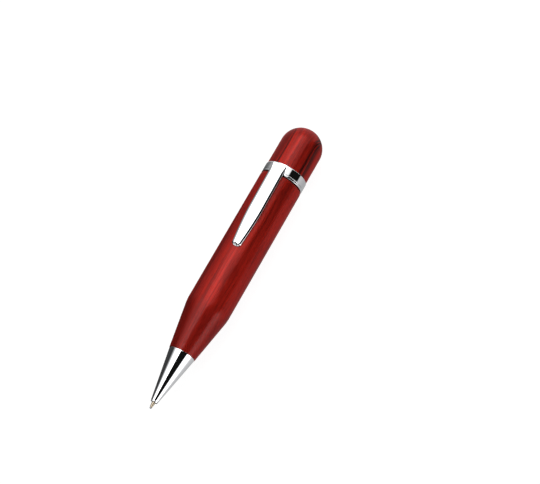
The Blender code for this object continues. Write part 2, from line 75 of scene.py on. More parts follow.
NOSE_LOW, NOSE_TAIL_END, NOSE_R = span("nose_cone")
WOOD_LOW, WOOD_HIGH, BODY_R = span("wood_barrel")
RING_LOW, RING_HIGH, RING_R = span("clip_ring")
_, CAP_HIGH, CAP_R = span("cap_shell")
TENON_LOW, TENON_HIGH, TENON_R = span("cap_liner")
PLUG_LOW, PLUG_HIGH, PLUG_HALF = span("usb_shell")
CLIP_LOW, _, CLIP_HALF = span("clip_arm")
POINT_LOW, POINT_HIGH, REFILL_R = span("refill_point")

SIDES = 160
SMALL_SIDES = 64

# the camera stands above the pen's left side, near its point, and leans over to one side
CAMERA_AT = (-158.0, -184.4, 509.2)
CAMERA_AZIMUTH = -44.10
CAMERA_ELEVATION = 63.82
CAMERA_ROLL = 19.10
CAMERA_LENS = 106.67

# the camera sees the line of the pen that lies this far round from the top, towards -Y
FACING = math.radians(20.2)


# ---------------------------------------------------------------- shapes


def at(station, y=0.0, height=0.0):
    """A point of the row frame from a station, a sideways offset and a height over the axis."""
    return Vector((TIP_X + station * MM, y * MM, AXIS_Z + height * MM))


def rounded(corners, steps=6, support=0.25):
    """A closed outline from corners (station, radius, fillet), each fillet as an arc. A point on
    either side of each arc keeps the shading of the long faces flat."""
    points = []
    for i, (x, y, fillet) in enumerate(corners):
        here = Vector((x, y))
        if not fillet:
            points.append((x, y))
            continue
        before = Vector(corners[i - 1][:2]) - here
        after = Vector(corners[(i + 1) % len(corners)][:2]) - here
        half = before.angle(after) / 2
        reach = fillet / math.tan(half)
        middle = before.normalized() + after.normalized()
        centre = here + middle.normalized() * (fillet / math.sin(half))
        start = here + before.normalized() * reach
        end = here + after.normalized() * reach
        lead = min(support, before.length - reach) * 0.5
        tail = min(support, after.length - reach) * 0.5
        points.append(tuple(start + before.normalized() * lead))
        turn = (start - centre).angle_signed(end - centre)
        for k in range(steps + 1):
            spoke = (start - centre).copy()
            spoke.rotate(Matrix.Rotation(-turn * k / steps, 2))
            points.append(tuple(centre + spoke))
        points.append(tuple(end + after.normalized() * tail))
    return points


def finished(name, bm, material, sharp=32):
    """A shown object from a bmesh, shaded smooth except across edges sharper than sharp degrees."""
    bmesh.ops.recalc_face_normals(bm, faces=bm.faces)
    mesh = bpy.data.meshes.new(name)
    bm.to_mesh(mesh)
    bm.free()
    mesh.materials.append(material)
    mesh.shade_smooth()
    mesh.set_sharp_from_angle(angle=math.radians(sharp))
    obj = bpy.data.objects.new(name, mesh)
    bpy.context.scene.collection.objects.link(obj)
    return obj


def skin(bm, rings, closed=True):
    """Quads between rings of vertices of equal length; points that meet on the axis are shared."""
    pairs = zip(rings, rings[1:] + rings[:1]) if closed else zip(rings, rings[1:])
    for one, two in pairs:
        for i in range(len(one)):
            quad = []
            for vert in (one[i], one[i - 1], two[i - 1], two[i]):
                if vert not in quad:
                    quad.append(vert)
            if len(quad) > 2:
                bm.faces.new(quad)


def turned(name, outline, material, sides=SIDES):
    """A turned solid from a closed outline of (station, radius)."""
    bm = bmesh.new()
    rings = []
    for station, radius in outline:
        if radius < 1e-6:
            rings.append([bm.verts.new(at(station))] * sides)
            continue
        angles = [2 * math.pi * i / sides for i in range(sides)]
        rings.append(
            [bm.verts.new(at(station, radius * math.sin(a), radius * math.cos(a))) for a in angles]
        )
    skin(bm, rings)
    return finished(name, bm, material)


def rounding(piece, width, segments=3):
    """Rounds a piece's sharp edges by width mm."""
    edge = piece.modifiers.new("edge", "BEVEL")
    edge.width = width * MM
    edge.segments = segments
    edge.limit_method = "ANGLE"
    edge.angle_limit = math.radians(50)


def smooth(x):
    """0 below 0, 1 above 1, and a soft step between."""
    x = min(1.0, max(0.0, x))
    return x * x * (3 - 2 * x)


# ---------------------------------------------------------------- materials


class Graph:
    """A node tree with short ways to add nodes. Each method returns the new node's output."""

    def __init__(self, tree):
        self.tree = tree

    def add(self, kind, inputs=None, output=0, **settings):
        node = self.tree.nodes.new("ShaderNode" + kind)
        for name, value in settings.items():
            setattr(node, name, value)
        for name, value in (inputs or {}).items():
            socket = node.inputs[name]
            if isinstance(value, bpy.types.NodeSocket):
                self.tree.links.new(value, socket)
            else:
                socket.default_value = value
        return node.outputs[output] if node.outputs else node

    def math(self, operation, a, b=0.0, c=0.0):
        return self.add("Math", {0: a, 1: b, 2: c}, operation=operation)

    def step(self, value, low, high):
        """A soft step from 0 at low to 1 at high, or the other way round if low is the larger."""
        ends = {"Value": value, "From Min": min(low, high), "From Max": max(low, high)}
        rising = self.add("MapRange", ends, interpolation_type="SMOOTHSTEP")
        return rising if low < high else self.math("SUBTRACT", 1.0, rising)

    def mix(self, factor, a, b):
        """A colour between the colours a and b."""
        return self.add("Mix", {"Factor": factor, 6: a, 7: b}, output=2, data_type="RGBA")

    def blend(self, factor, a, b):
        """A number between the numbers a and b."""
        return self.add("Mix", {"Factor": factor, "A": a, "B": b}, data_type="FLOAT")

    def place(self, scale=(1, 1, 1), shift=(0, 0, 0)):
        """The point on the piece in mm from the pen's axis, stretched by scale and then shifted."""
        point = self.add("TexCoord", output=3)
        inputs = {
            0: point,
            1: [s / MM for s in scale],
            2: (shift[0], shift[1], shift[2] - AXIS_Z / MM * scale[2]),
        }
        return self.add("VectorMath", inputs, operation="MULTIPLY_ADD")

    def noise(self, vector, scale=1.0, detail=3.0, roughness=0.5):
        inputs = {"Vector": vector, "Scale": scale, "Detail": detail, "Roughness": roughness}
        return self.add("TexNoise", inputs)

    def bump(self, height, strength, distance):
        inputs = {"Height": height, "Strength": strength, "Distance": distance}
        return self.add("Bump", inputs)


def material(name):
    """A new material, its graph and its Principled node."""
    made = bpy.data.materials.new(name)
    made.use_nodes = True
    shader = made.node_tree.nodes["Principled BSDF"]
    return made, Graph(made.node_tree), shader


def link(graph, value, shader, name):
    graph.tree.links.new(value, shader.inputs[name])


RED = (0.58, 0.024, 0.014, 1)
DARK_RED = (0.20, 0.010, 0.007, 1)
STREAK = (0.030, 0.007, 0.006, 1)
PORE = (0.07, 0.010, 0.008, 1)


def streak_line(graph, flat, shift):
    """The offset across the layers, with a slight wander along the pen."""
    drift = graph.noise(graph.place((0.06, 0.03, 0.03), shift), detail=2)
    return graph.math("MULTIPLY_ADD", graph.math("SUBTRACT", drift, 0.5), 0.9, flat)


def rosewood(name, shift, streaks):
    """Lacquered rosewood. The grain is solid: layers run along the pen and across it, seen on edge
    from the camera's side. Each streak is (offset across the layers in mm, half width, depth)."""
    made, graph, shader = material(name)
    across = (0.0, -math.cos(FACING), -math.sin(FACING))
    into = (0.0, -math.sin(FACING), math.cos(FACING))
    point = graph.place()
    flat = graph.add("VectorMath", {0: point, 1: across}, output=1, operation="DOT_PRODUCT")
    deep = graph.add("VectorMath", {0: point, 1: into}, output=1, operation="DOT_PRODUCT")
    along = graph.add("SeparateXYZ", {0: point})

    # layers bend slowly, so that they run out on the cone in long pointed figures
    wander = graph.noise(graph.place((0.022, 0.07, 0.07), shift), detail=2)
    bent = graph.math("MULTIPLY_ADD", graph.math("SUBTRACT", wander, 0.5), 5.0, flat)
    curve = graph.math("MULTIPLY", graph.math("MULTIPLY", deep, deep), 0.022)
    layer = graph.math("ADD", bent, curve)

    def stretched(x, y, z):
        """Layer coordinates scaled along the pen, across the layers and into them."""
        inputs = {
            0: graph.math("MULTIPLY_ADD", along, x, shift[0]),
            1: graph.math("MULTIPLY_ADD", layer, y, shift[1]),
            2: graph.math("MULTIPLY_ADD", deep, z, shift[2]),
        }
        return graph.add("CombineXYZ", inputs)

    broad = graph.noise(stretched(0.012, 0.42, 0.04), detail=3, roughness=0.55)
    fine = graph.noise(stretched(0.03, 2.6, 0.25), detail=4, roughness=0.6)
    fibre = graph.noise(stretched(0.09, 9.0, 1.2), detail=2)
    pores = graph.noise(stretched(0.30, 7.0, 3.5), detail=1)
    mottle = graph.noise(graph.place((0.09, 0.22, 0.22), shift), detail=4, roughness=0.6)

    # what stains the red, where its stain starts, where it is full, how strong it is, and its colour;
    # the last darkens the wood towards the point, over the cone
    stains = (
        (broad, 0.46, 0.70, 0.8, DARK_RED),
        (fine, 0.50, 0.70, 0.6, DARK_RED),
        (fibre, 0.45, 0.80, 0.45, DARK_RED),
        (mottle, 0.54, 0.72, 0.5, DARK_RED),
        (pores, 0.64, 0.74, 0.7, PORE),
        (along, -13.0, -24.0, 0.5, DARK_RED),
    )
    colour = RED
    for value, start, full, strength, stain in stains:
        amount = graph.math("MULTIPLY", graph.step(value, start, full), strength)
        colour = graph.mix(amount, colour, stain)
    for offset, half_width, depth in streaks:
        line = streak_line(graph, flat, shift)
        near = graph.math("ABSOLUTE", graph.math("SUBTRACT", line, offset))
        band = graph.step(near, half_width * 1.25, half_width * 0.35)
        ragged = graph.step(fine, 0.25, 0.55)
        amount = graph.math("MULTIPLY", graph.math("MULTIPLY", band, ragged), depth)
        colour = graph.mix(amount, colour, STREAK)
    link(graph, colour, shader, "Base Color")

    ends = {"Value": fibre, "From Min": 0.3, "From Max": 0.7, "To Min": 0.48, "To Max": 0.58}
    link(graph, graph.add("MapRange", ends), shader, "Roughness")
    relief = graph.math("ADD", fibre, graph.math("MULTIPLY", pores, 0.6))
    link(graph, graph.bump(relief, 0.25, 0.00004), shader, "Normal")
    shader.inputs["Metallic"].default_value = 0.6
    shader.inputs["Specular IOR Level"].default_value = 0.2
    shader.inputs["Specular Tint"].default_value = (1.0, 0.03, 0.015, 1.0)
    shader.inputs["Coat Weight"].default_value = 0.24
    shader.inputs["Coat Roughness"].default_value = 0.12
    shader.inputs["Coat IOR"].default_value = 1.5
    lacquer = graph.noise(graph.place((0.25, 0.5, 0.5), shift), detail=2)
    link(graph, graph.bump(lacquer, 0.12, 0.0001), shader, "Coat Normal")
    return made


def metal(name, colour, roughness, wear=0.02, grain=(0.2, 0.2, 0.2), relief=0.0):
    """A metal whose gloss varies a little, with fine marks stretched by grain."""
    made, graph, shader = material(name)
    marks = graph.noise(graph.place(grain), scale=2.0, detail=5, roughness=0.6)
    shade = [channel * 0.97 for channel in colour]
    base = graph.mix(graph.step(marks, 0.35, 0.75), (*colour, 1), (*shade, 1))
    link(graph, base, shader, "Base Color")
    ends = {"Value": marks, "From Min": 0.3, "From Max": 0.7}
    ends |= {"To Min": max(0.0, roughness - wear), "To Max": roughness + wear}
    link(graph, graph.add("MapRange", ends), shader, "Roughness")
    shader.inputs["Metallic"].default_value = 1.0
    if relief:
        link(graph, graph.bump(marks, relief, 0.00005), shader, "Normal")
    return made


def plastic(name, colour, roughness, grain=1.5, relief=0.15):
    """Moulded plastic with a fine eroded texture and slight shade changes."""
    made, graph, shader = material(name)
    texture = graph.noise(graph.place(), scale=grain * 4, detail=3)
    cloud = graph.noise(graph.place(), scale=grain * 0.1, detail=2)
    darker = tuple(channel * 0.75 for channel in colour)
    base = graph.mix(graph.step(cloud, 0.3, 0.7), (*colour, 1), (*darker, 1))
    link(graph, base, shader, "Base Color")
    ends = {"Value": texture, "To Min": roughness - 0.06, "To Max": roughness + 0.06}
    link(graph, graph.add("MapRange", ends), shader, "Roughness")
    link(graph, graph.bump(texture, relief, 0.00003), shader, "Normal")
    return made


def circuit(name):
    """Green solder mask over copper tracks, which show as slightly raised lighter lines."""
    made, graph, shader = material(name)
    bricks = {
        "Vector": graph.place((1.0, 1.0, 0.0)),
        "Scale": 1.0,
        "Mortar Size": 0.16,
        "Mortar Smooth": 0.2,
        "Brick Width": 2.3,
        "Row Height": 0.7,
        "Color1": (0, 0, 0, 1),
        "Color2": (0, 0, 0, 1),
        "Mortar": (1, 1, 1, 1),
    }
    tracks = graph.add("TexBrick", bricks, offset=0.37)
    base = graph.mix(tracks, (0.008, 0.075, 0.028, 1), (0.02, 0.16, 0.06, 1))
    link(graph, base, shader, "Base Color")
    link(graph, graph.bump(tracks, 0.4, 0.00003), shader, "Normal")
    shader.inputs["Roughness"].default_value = 0.32
    shader.inputs["Coat Weight"].default_value = 0.5
    return made


CAP_STREAKS = ((4.45, 1.6, 0.95), (-4.95, 0.28, 0.8))
barrel_wood = rosewood("rosewood_barrel", (3.0, 1.0, 7.0), ())
cap_wood = rosewood("rosewood_cap", (21.0, 5.0, 2.0), CAP_STREAKS)
chrome = metal("chrome", (0.93, 0.94, 0.96), 0.035, 0.012)
brass = metal("brass", (0.80, 0.60, 0.27), 0.24, 0.08, (0.03, 1.2, 1.2), 0.2)
nickel = metal("nickel", (0.74, 0.72, 0.68), 0.22, 0.07, (0.03, 1.2, 1.2), 0.15)
bright_nickel = metal("bright_nickel", (0.80, 0.79, 0.77), 0.14, 0.04, (0.3, 0.3, 0.3))
point_metal = metal("point_metal", (0.45, 0.38, 0.28), 0.22, 0.05, (0.2, 2.0, 2.0), 0.1)
carbide = metal("carbide", (0.42, 0.42, 0.44), 0.12, 0.03)
gold = metal("gold_plate", (0.92, 0.69, 0.27), 0.18, 0.05, (0.1, 1.0, 1.0))
black_plastic = plastic("black_plastic", (0.018, 0.018, 0.02), 0.45)
white_plastic = plastic("white_plastic", (0.72, 0.72, 0.69), 0.42)
epoxy = plastic("chip_epoxy", (0.028, 0.028, 0.032), 0.6, 4.0, 0.35)
ceramic = plastic("ceramic", (0.42, 0.33, 0.22), 0.4, 3.0)
green_board = circuit("green_board")

NODE_LOOKS = {
    "front_liner": brass,
    "rear_liner": brass,
    "front_bush": brass,
    "guide_housing": white_plastic,
    "rear_bearing": nickel,
    "refill_carriage": black_plastic,
    "follower_pin": bright_nickel,
    "cam_sleeve": black_plastic,
    "drive_holder": black_plastic,
    "retaining_ring": nickel,
    "usb_tongue": black_plastic,
    "circuit_board": green_board,
    "memory_chip": epoxy,
    "controller_chip": epoxy,
    "crystal": nickel,
    "capacitor_1": ceramic,
    "capacitor_2": ceramic,
    "refill_tube": brass,
}


def dress_nodes():
    """Gives the CAD nodes that stay their finished materials."""
    for node, look in NODE_LOOKS.items():
        for material_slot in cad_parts[node].material_slots:
            material_slot.material = look


def belongs(piece, body, node):
    """The piece moves with the body and stands for the CAD node, which it hides."""
    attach(piece, body)
    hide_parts(node)
    return piece


# ---------------------------------------------------------------- wood


def wood_barrel():
    """Cylinder, soft shoulder, straight cone; the edges are broken lightly, the rear one rounded."""
    shoulder = 39.51
    shoulder_fillet = 18.7
    front_r = 4.95
    front_bore_r = 4.05
    bore_step = 50.1
    rear_bore_r = 7.2
    outline = [
        (WOOD_HIGH, BODY_R - 0.6, 0),
        (WOOD_HIGH, BODY_R, 0.55),
        (shoulder, BODY_R, shoulder_fillet),
        (WOOD_LOW, front_r, 0.07),
        (WOOD_LOW, front_bore_r, 0.1),
        (bore_step, front_bore_r, 0),
        (bore_step, rear_bore_r, 0),
        (WOOD_HIGH, rear_bore_r, 0.1),
    ]
    barrel = turned("barrel_wood", rounded(outline, 8), barrel_wood)
    return belongs(barrel, "barrel", "wood_barrel")


def cap_shell():
    """A straight skirt and a hemisphere, as one skin, over the bore for liner and plug."""
    centre = CAP_HIGH - CAP_R
    low = RING_HIGH + 0.03
    liner_bore = (109.6, 7.05)
    plug_bore = (111.6, 6.35)
    drill_tip = 113.2
    dome = []
    rings = 40
    for i in range(rings + 1):
        angle = math.pi / 2 * i / rings
        dome.append((centre + CAP_R * math.cos(angle), CAP_R * math.sin(angle), 0))
    dome[0] = (CAP_HIGH, 0.0, 0)
    outline = [
        *dome,
        (centre - 1.0, CAP_R, 0),
        (low, CAP_R, 0.07),
        (low, liner_bore[1], 0.08),
        (*liner_bore, 0),
        (liner_bore[0], plug_bore[1], 0),
        (*plug_bore, 0.6),
        (drill_tip, 0.0, 0),
    ]
    cap = turned("cap_wood", rounded(outline, 8), cap_wood)
    return belongs(cap, "cap", "cap_shell")


# ---------------------------------------------------------------- chrome


def nose_cone():
    """A polished cone with a fine bead round its opening, and the tail that screws in."""
    high = WOOD_LOW - 0.03
    front = NOSE_LOW
    tail_r = 2.9
    groove_r = 1.25
    opening_r = 0.95
    bore_r = 1.6
    outline = [
        (NOSE_TAIL_END, tail_r, 0.15),
        (high, tail_r, 0),
        (high, NOSE_R, 0.06),
        (front + 0.62, 1.36, 0.05),
        (front + 0.55, groove_r, 0.04),
        (front + 0.42, groove_r, 0.04),
        (front + 0.34, 1.31, 0.05),
        (front, groove_r, 0.12),
        (front, opening_r, 0.08),
        (front + 1.4, opening_r, 0),
        (front + 4.4, bore_r, 0),
        (NOSE_TAIL_END, bore_r, 0.1),
    ]
    nose = turned("nose_chrome", rounded(outline, 5), chrome)
    return belongs(nose, "barrel", "nose_cone")


# the clip's neck, and the notch that it stands in: half widths, lengths along the pen and corners
NECK_HALF = 1.5
NECK_LONG = 1.1
NECK_BACK = 0.35
NECK_DEPTH = 0.25
NOTCH_HALF = NECK_HALF + 0.15
NOTCH_CORNER = 1.2
NOTCH_TOP = 1.15


def ring_edge(y):
    """How far the ring's lower edge stands back at y mm beside the clip, and inside the notch."""
    away = abs(y) - NOTCH_HALF
    if away <= 0:
        return RING_HIGH - NOTCH_TOP - RING_LOW
    if away >= NOTCH_CORNER:
        return 0.0
    return NOTCH_CORNER - math.sqrt(NOTCH_CORNER**2 - (NOTCH_CORNER - away) ** 2)


def ring_angles():
    """Even steps round the ring, with close ones at the notch's sides and corners."""
    angles = [2 * math.pi * i / SIDES for i in range(SIDES)]
    for side in (-1, 1):
        for y in (NOTCH_HALF - 0.01, NOTCH_HALF + 0.01):
            angles.append(side * math.asin(y / RING_R) % (2 * math.pi))
        for k in range(1, 13):
            y = NOTCH_HALF + NOTCH_CORNER * (1 - math.cos(math.pi / 2 * k / 12))
            angles.append(side * math.asin(y / RING_R) % (2 * math.pi))
    return sorted(set(angles))


def clip_ring():
    """The band under the cap: a groove over its lower lip, and a notch for the clip's root."""
    inner = 7.1
    lip = 0.7
    room = RING_HIGH - RING_LOW
    corners = [
        (RING_HIGH, RING_R, 0.22),
        (RING_LOW + lip + 0.22, RING_R, 0.04),
        (RING_LOW + lip + 0.12, RING_R - 0.11, 0.04),
        (RING_LOW + lip, RING_R, 0.05),
        (RING_LOW, RING_R, 0.18),
        (RING_LOW, inner, 0.05),
        (RING_HIGH, inner, 0.05),
    ]
    outline = rounded(corners, 5)
    bm = bmesh.new()
    rings = []
    angles = ring_angles()
    for station, radius in outline:
        under_top = RING_HIGH - station
        row = []
        for angle in angles:
            y = radius * math.sin(angle)
            z = radius * math.cos(angle)
            raised = ring_edge(RING_R * math.sin(angle)) if z > 0 else 0.0
            # the lip moves up whole; in the notch, where it has no room, the whole band is squeezed
            squeezed = station + raised * min(1.0, under_top / (room - lip))
            if raised > room - lip - 0.5:
                squeezed = RING_HIGH - under_top * (room - raised) / room
            row.append(bm.verts.new(at(squeezed, y, z)))
        rings.append(row)
    skin(bm, rings)
    ring = finished("ring_chrome", bm, chrome, 40)
    return belongs(ring, "head", "clip_ring")


# the clip: its slope, its face's height at the tip, its sheet, and how its sides are turned down
CLIP_RISE = 0.0502
CLIP_BACK = RING_HIGH - 1.35
CLIP_TIP_HEIGHT = 9.06
CLIP_SHEET = 0.42
CLIP_SHOULDERS = (0.5, 1.3, 1.35)
CLIP_ROOT_RUN = 4.0
CLIP_TIP_RUN = 2.0
CLIP_SHOULDER_ARC = math.radians(55)
CLIP_FOLD = 0.12
CLIP_WALL = 0.5
CLIP_TAPER = 15.0
CLIP_DRAWN_IN = 1.05
CLIP_CORNERS = (0.65, 1.3)
CLIP_CROWN = 0.035
CLIP_CLEARANCE = 0.08
# the scoop in its tip
SCOOP_LONG = 1.3
SCOOP_BACK = 0.35
SCOOP_HALF = 0.8
SCOOP_DEEP = 0.24
SCOOP_STEEPNESS = 1.25


def clip_outline(length):
    """Half the clip's outline as (distance from the root, half width), from root to tip."""

    def half_width(distance):
        taper = max(0.0, 1 - (length - distance) / CLIP_TAPER)
        return CLIP_HALF - CLIP_DRAWN_IN * taper**1.6

    near, far = CLIP_CORNERS
    root_middle = half_width(near) - near
    tip_middle = half_width(length - far) - far
    outline = [Vector((0.0, root_middle * i / 4)) for i in range(4)]
    for i in range(13):
        angle = math.pi / 2 * i / 12
        spoke = Vector((-math.cos(angle), math.sin(angle))) * near
        outline.append(Vector((near, root_middle)) + spoke)
    side_steps = 150
    for i in range(1, side_steps):
        distance = near + (length - far - near) * i / side_steps
        outline.append(Vector((distance, half_width(distance))))
    for i in range(17):
        angle = math.pi / 2 * i / 16
        spoke = Vector((math.sin(angle), math.cos(angle))) * far
        outline.append(Vector((length - far, tip_middle)) + spoke)
    outline += [Vector((length, tip_middle * (1 - i / 4))) for i in range(1, 5)]
    return outline


def clip_shoulder(radius, reach):
    """The sheet's turned-down side as (inset from the edge, drop under the face), foot first. The
    foot is no more than reach mm under the face."""
    turned_in = CLIP_FOLD * (1 - math.sin(CLIP_SHOULDER_ARC))
    fold_drop = radius * (1 - math.cos(CLIP_SHOULDER_ARC)) + CLIP_FOLD * math.cos(CLIP_SHOULDER_ARC)
    wall = min(CLIP_WALL, reach - fold_drop)
    section = [(0.0, fold_drop + wall * share) for share in (1.0, 0.4)]
    for k in range(5):
        angle = math.pi / 2 + (CLIP_SHOULDER_ARC - math.pi / 2) * k / 4
        section.append((CLIP_FOLD * (1 - math.sin(angle)), fold_drop - CLIP_FOLD * math.cos(angle)))
    centre = turned_in + radius * math.sin(CLIP_SHOULDER_ARC)
    for k in range(1, 11):
        angle = CLIP_SHOULDER_ARC * (1 - k / 10)
        section.append((centre - radius * math.sin(angle), radius * (1 - math.cos(angle))))
    return section


def clip_arm():
    """A shallow tray of sheet: flat face, rounded shoulders, sides turned down all round, and a
    scoop pressed into the tip that guides cloth under it."""
    length = CLIP_BACK - CLIP_LOW
    outline = clip_outline(length)
    at_root, along_side, at_tip = CLIP_SHOULDERS

    def pressed(point):
        run = smooth((point.x - length + SCOOP_LONG + SCOOP_BACK) / SCOOP_LONG)
        return SCOOP_DEEP * run * smooth(SCOOP_STEEPNESS * (1 - abs(point.y) / SCOOP_HALF))

    bm = bmesh.new()
    rows = []
    for index, edge in enumerate(outline):
        ahead = outline[min(index + 1, len(outline) - 1)] - outline[max(index - 1, 0)]
        inside = Vector((ahead.y, -ahead.x)).normalized()
        if index in (0, len(outline) - 1):
            inside = Vector((1.0 if index == 0 else -1.0, 0.0))
        radius = at_root + (along_side - at_root) * smooth(edge.x / CLIP_ROOT_RUN)
        near_tip = smooth((edge.x - length + CLIP_TIP_RUN) / CLIP_TIP_RUN)
        radius += (at_tip - along_side) * near_tip
        inner_side = max(0.0, edge.y - CLIP_SHEET)
        wood = math.sqrt(BODY_R**2 - inner_side**2) + CLIP_CLEARANCE
        face_height = CLIP_TIP_HEIGHT + CLIP_RISE * (length - edge.x) - CLIP_CROWN
        section = clip_shoulder(radius, face_height - pressed(edge) - wood)
        half_section = [(edge + inside * inset, drop) for inset, drop in section]
        rim = half_section[-1][0]
        face = []
        for k in range(1, 24):
            share = 1 - k / 12
            point = Vector((rim.x, rim.y * share))
            face.append((point, -CLIP_CROWN * math.cos(math.pi / 2 * share)))
        other = [(Vector((point.x, -point.y)), down) for point, down in reversed(half_section)]
        row = []
        for point, down in half_section + face + other:
            height = CLIP_TIP_HEIGHT + CLIP_RISE * (length - point.x)
            height -= down + CLIP_CROWN + pressed(point)
            row.append(bm.verts.new(at(CLIP_BACK - point.x, point.y, height)))
        rows.append(row)
    for one, two in zip(rows, rows[1:]):
        for i in range(len(one) - 1):
            bm.faces.new((one[i], one[i + 1], two[i + 1], two[i]))
    bmesh.ops.remove_doubles(bm, verts=bm.verts, dist=1e-7)
    bmesh.ops.dissolve_degenerate(bm, edges=bm.edges, dist=1e-7)
    clip = finished("clip_chrome", bm, chrome, 50)
    sheet = clip.modifiers.new("sheet", "SOLIDIFY")
    sheet.thickness = CLIP_SHEET * MM
    sheet.offset = -1.0
    return belongs(clip, "clip", "clip_arm")


def clip_neck():
    """The narrow neck that comes up through the ring's notch and carries the clip."""
    high = CLIP_BACK - NECK_BACK
    top = CLIP_TIP_HEIGHT + CLIP_RISE * (high - CLIP_LOW) - CLIP_SHEET - 0.05
    bm = bmesh.new()
    ends = []
    for station in (high - NECK_LONG, high):
        corners = ((-NECK_HALF, RING_R - NECK_DEPTH), (NECK_HALF, RING_R - NECK_DEPTH))
        corners += ((NECK_HALF, top), (-NECK_HALF, top))
        ends.append([bm.verts.new(at(station, y, z)) for y, z in corners])
    skin(bm, ends, closed=False)
    bm.faces.new(ends[0])
    bm.faces.new(ends[1][::-1])
    neck = finished("clip_neck_chrome", bm, chrome, 50)
    rounding(neck, 0.2, 4)
    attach(neck, "clip")


# ---------------------------------------------------------------- refill


def refill_point():
    """The point: collar, long cone and a thin swaged lip that holds the ball."""
    tail = POINT_HIGH
    collar = 10.4
    inside = 0.895
    outline = [
        (tail, inside, 0.05),
        (collar, inside, 0),
        (collar, REFILL_R, 0.1),
        (8.9, 1.125, 0.2),
        (6.5, 0.8, 1.5),
        (3.62, 0.76, 0.1),
        (3.32, 0.68, 0.05),
        (1.75, 0.6, 0.4),
        (POINT_LOW - 0.06, 0.42, 0.03),
        (POINT_LOW + 0.1, 0.36, 0.02),
        (POINT_LOW + 0.45, 0.2, 0),
        (tail, 0.2, 0),
    ]
    point = turned("point_brass", rounded(outline, 4, 0.1), point_metal, SMALL_SIDES)
    return belongs(point, "refill", "refill_point")


def writing_ball():
    """The ball, as a smooth sphere."""
    low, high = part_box("writing_ball")
    bm = bmesh.new()
    bmesh.ops.create_icosphere(bm, subdivisions=4, radius=(high.x - low.x) / 2)
    bmesh.ops.translate(bm, vec=(low + high) / 2, verts=bm.verts)
    ball = finished("ball_carbide", bm, carbide)
    return belongs(ball, "ball", "writing_ball")


# ---------------------------------------------------------------- under the cap


# the plug's sheet, its bends, the slots in its broad sides and the seam where its edges meet
PLUG_WALL = 0.3
PLUG_CORNER = 0.6
PLUG_SLOTS = (1.5, 4.0)
PLUG_SLOT_BACK = (7.2, 5.0)
PLUG_SEAM = 0.04


def usb_shell():
    """The plug's folded sheet: open at both ends, two slots on each broad side, a seam below."""
    low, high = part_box("usb_shell")
    tall = (high.z - low.z) / 2 / MM - PLUG_CORNER
    wide = PLUG_HALF - PLUG_CORNER
    across = [PLUG_SEAM, PLUG_SLOTS[0], PLUG_SLOTS[1], wide]
    outline = [(y, -tall - PLUG_CORNER) for y in across[:-1]]
    for corner, side in ((0, -1), (1, 1)):
        for k in range(9):
            angle = math.pi / 2 * (corner + k / 8)
            outline.append(
                (wide + PLUG_CORNER * math.sin(angle), side * tall - PLUG_CORNER * math.cos(angle))
            )
    outline += [(y, tall + PLUG_CORNER) for y in reversed(across[:-1])]
    outline += [(-y, z) for y, z in reversed(outline)]
    stations = [PLUG_LOW, *(PLUG_HIGH - back for back in PLUG_SLOT_BACK), PLUG_HIGH]
    bm = bmesh.new()
    rows = [[bm.verts.new(at(x, y, z)) for y, z in outline] for x in stations]
    for k, (one, two) in enumerate(zip(rows, rows[1:])):
        for i in range(len(outline) - 1):
            (y, z), (next_y, next_z) = outline[i], outline[i + 1]
            in_slot = {round(abs(y), 3), round(abs(next_y), 3)} == set(PLUG_SLOTS)
            if not (k == 1 and in_slot):
                bm.faces.new((one[i], one[i + 1], two[i + 1], two[i]))
    shell = finished("usb_shell_steel", bm, bright_nickel, 40)
    sheet = shell.modifiers.new("sheet", "SOLIDIFY")
    sheet.thickness = PLUG_WALL * MM
    sheet.offset = -1.0
    rounding(shell, 0.06)
    return belongs(shell, "head", "usb_shell")


def usb_contact(node):
    """A gold strip on the tongue, its two front corners clipped."""
    low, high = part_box(node)
    half = (high.y - low.y) / 2
    middle = (high.y + low.y) / 2
    clipped = 0.35 * half
    outline = [
        (low.x, -half),
        (high.x - clipped, -half),
        (high.x, -half + clipped),
        (high.x, half - clipped),
        (high.x - clipped, half),
        (low.x, half),
    ]
    bm = bmesh.new()
    top = [bm.verts.new((x, middle + y, high.z)) for x, y in outline]
    foot = [bm.verts.new((x, middle + y, low.z)) for x, y in outline]
    bm.faces.new(top)
    bm.faces.new(foot[::-1])
    for i in range(len(outline)):
        bm.faces.new((top[i - 1], foot[i - 1], foot[i], top[i]))
    strip = finished(node + "_gold", bm, gold)
    rounding(strip, 0.05)
    return belongs(strip, "head", node)


def cap_liner():
    """The liner tube; its end is the tenon that the ring holds, with a rounded lead-in."""
    inner = 6.45
    outline = [
        (TENON_LOW, inner, 0.1),
        (TENON_LOW, TENON_R, 0.3),
        (TENON_HIGH, TENON_R, 0.06),
        (TENON_HIGH, inner, 0.06),
    ]
    liner = turned("cap_liner_tube", rounded(outline, 5), black_plastic)
    return belongs(liner, "cap", "cap_liner")


# ---------------------------------------------------------------- studio


def floor():
    """A pale floor that the pen lies on; it gives soft light back to the pen's underside."""
    made, graph, shader = material("floor_paint")
    cloud = graph.noise(graph.place((0.01, 0.01, 0.01)), detail=2)
    shade = graph.mix(cloud, (0.12, 0.12, 0.12, 1), (0.14, 0.14, 0.14, 1))
    link(graph, shade, shader, "Base Color")
    shader.inputs["Roughness"].default_value = 0.5
    shader.inputs["Emission Color"].default_value = (1.0, 1.0, 1.0, 1.0)
    seen = graph.add("LightPath").node.outputs["Is Camera Ray"]
    link(graph, graph.blend(seen, 0.4, 0.96), shader, "Emission Strength")
    bm = bmesh.new()
    bmesh.ops.create_grid(bm, x_segments=8, y_segments=8, size=5.0)
    plane = finished("floor", bm, made)
    plane.visible_glossy = False


